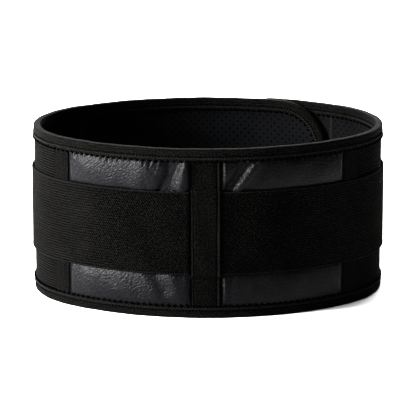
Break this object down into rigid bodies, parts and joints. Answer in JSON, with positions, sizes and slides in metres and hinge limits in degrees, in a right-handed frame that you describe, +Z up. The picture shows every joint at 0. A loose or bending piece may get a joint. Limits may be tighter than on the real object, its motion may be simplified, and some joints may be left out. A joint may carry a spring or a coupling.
{
  "type": "lumbar support belt",
  "caption": "Elastic lumbar support belt closed into a ring, with a leather back panel, flat stays, elastic sides, hook-and-loop front flaps and pull straps.",
  "frame": {"origin": "centre of the belt's bounding box, on the plane its lower edge stands on", "axes": "+Z up along the wearer's spine, -Y towards the lumbar back panel, +X towards the wearer's right side, +Y towards the front closure"},
  "size_m": [0.3376, 0.2624, 0.16],
  "materials": {
    "perforated_neoprene": "knit-faced perforated neoprene, matt",
    "elastic_knit": "ribbed elastic knit, matt",
    "pebbled_leather": "pebble-grained leather with a soft sheen",
    "foam": "closed-cell padding foam",
    "binding_tape": "folded elastic binding, fine ribs",
    "elastic_webbing": "woven elastic webbing, matt",
    "loop_cloth": "brushed loop cloth",
    "hook_tape": "moulded nylon hook tape",
    "cover_tape": "herringbone cover tape",
    "spring_steel": "flat spring steel",
    "tip_plastic": "dipped plastic tips"
  },
  "bodies": {
    "back": {"lining_back": "perforated_neoprene", "lumbar_foam": "foam", "leather_panel_left": "pebbled_leather", "leather_panel_right": "pebbled_leather", "spine_cover": "cover_tape", "spine_stay_left": "spring_steel", "spine_stay_right": "spring_steel", "side_stay_left": "spring_steel", "side_stay_right": "spring_steel", "stay_tips": "tip_plastic", "stay_cover_left": "cover_tape", "stay_cover_right": "cover_tape", "binding_top_back": "binding_tape", "binding_bottom_back": "binding_tape", "strap_back_left": "elastic_webbing", "strap_back_right": "elastic_webbing"},
    "right_side": {"lining_side_right": "perforated_neoprene", "elastic_side_right": "elastic_knit", "strap_side_right": "elastic_webbing", "binding_top_right": "binding_tape", "binding_bottom_right": "binding_tape"},
    "left_side": {"lining_side_left": "perforated_neoprene", "elastic_side_left": "elastic_knit", "strap_side_left": "elastic_webbing", "binding_top_left": "binding_tape", "binding_bottom_left": "binding_tape"},
    "outer_flap": {"lining_outer_flap": "perforated_neoprene", "loop_panel_outer_flap": "loop_cloth", "binding_outer_flap": "binding_tape", "hook_patch_main": "hook_tape", "strap_front_right": "elastic_webbing"},
    "inner_flap": {"lining_inner_flap": "perforated_neoprene", "loop_panel_inner_flap": "loop_cloth", "binding_inner_flap": "binding_tape", "strap_front_left": "elastic_webbing"},
    "right_tab": {"strap_tab_right": "elastic_webbing", "hook_patch_right": "hook_tape"},
    "left_tab": {"strap_tab_left": "elastic_webbing", "hook_patch_left": "hook_tape"}
  },
  "joints": [
    {"name": "right_side_opening", "type": "hinge", "parent": "back", "child": "right_side", "pos_m": [0.14161, -0.0696, 0.08], "axis": [0, 0, -1], "range_deg": [0, 60]},
    {"name": "left_side_opening", "type": "hinge", "parent": "back", "child": "left_side", "pos_m": [-0.14482, -0.06908, 0.08], "axis": [0, 0, 1], "range_deg": [0, 48]},
    {"name": "outer_flap_peel", "type": "hinge", "parent": "right_side", "child": "outer_flap", "pos_m": [0.12343, 0.09081, 0.08], "axis": [0, 0, -1], "range_deg": [0, 90]},
    {"name": "inner_flap_fold", "type": "hinge", "parent": "left_side", "child": "inner_flap", "pos_m": [-0.12062, 0.07545, 0.08], "axis": [0, 0, -1], "range_deg": [0, 45]},
    {"name": "right_tab_peel", "type": "hinge", "parent": "outer_flap", "child": "right_tab", "pos_m": [0.087, 0.11292, 0.08], "axis": [0, 0, -1], "range_deg": [0, 90]},
    {"name": "left_tab_peel", "type": "hinge", "parent": "inner_flap", "child": "left_tab", "pos_m": [-0.09025, 0.10541, 0.08], "axis": [0, 0, 1], "range_deg": [0, 90]}
  ],
  "couplings": [
    {"joint": "left_side_opening", "follows": "right_side_opening", "ratio": 0.8}
  ]
}
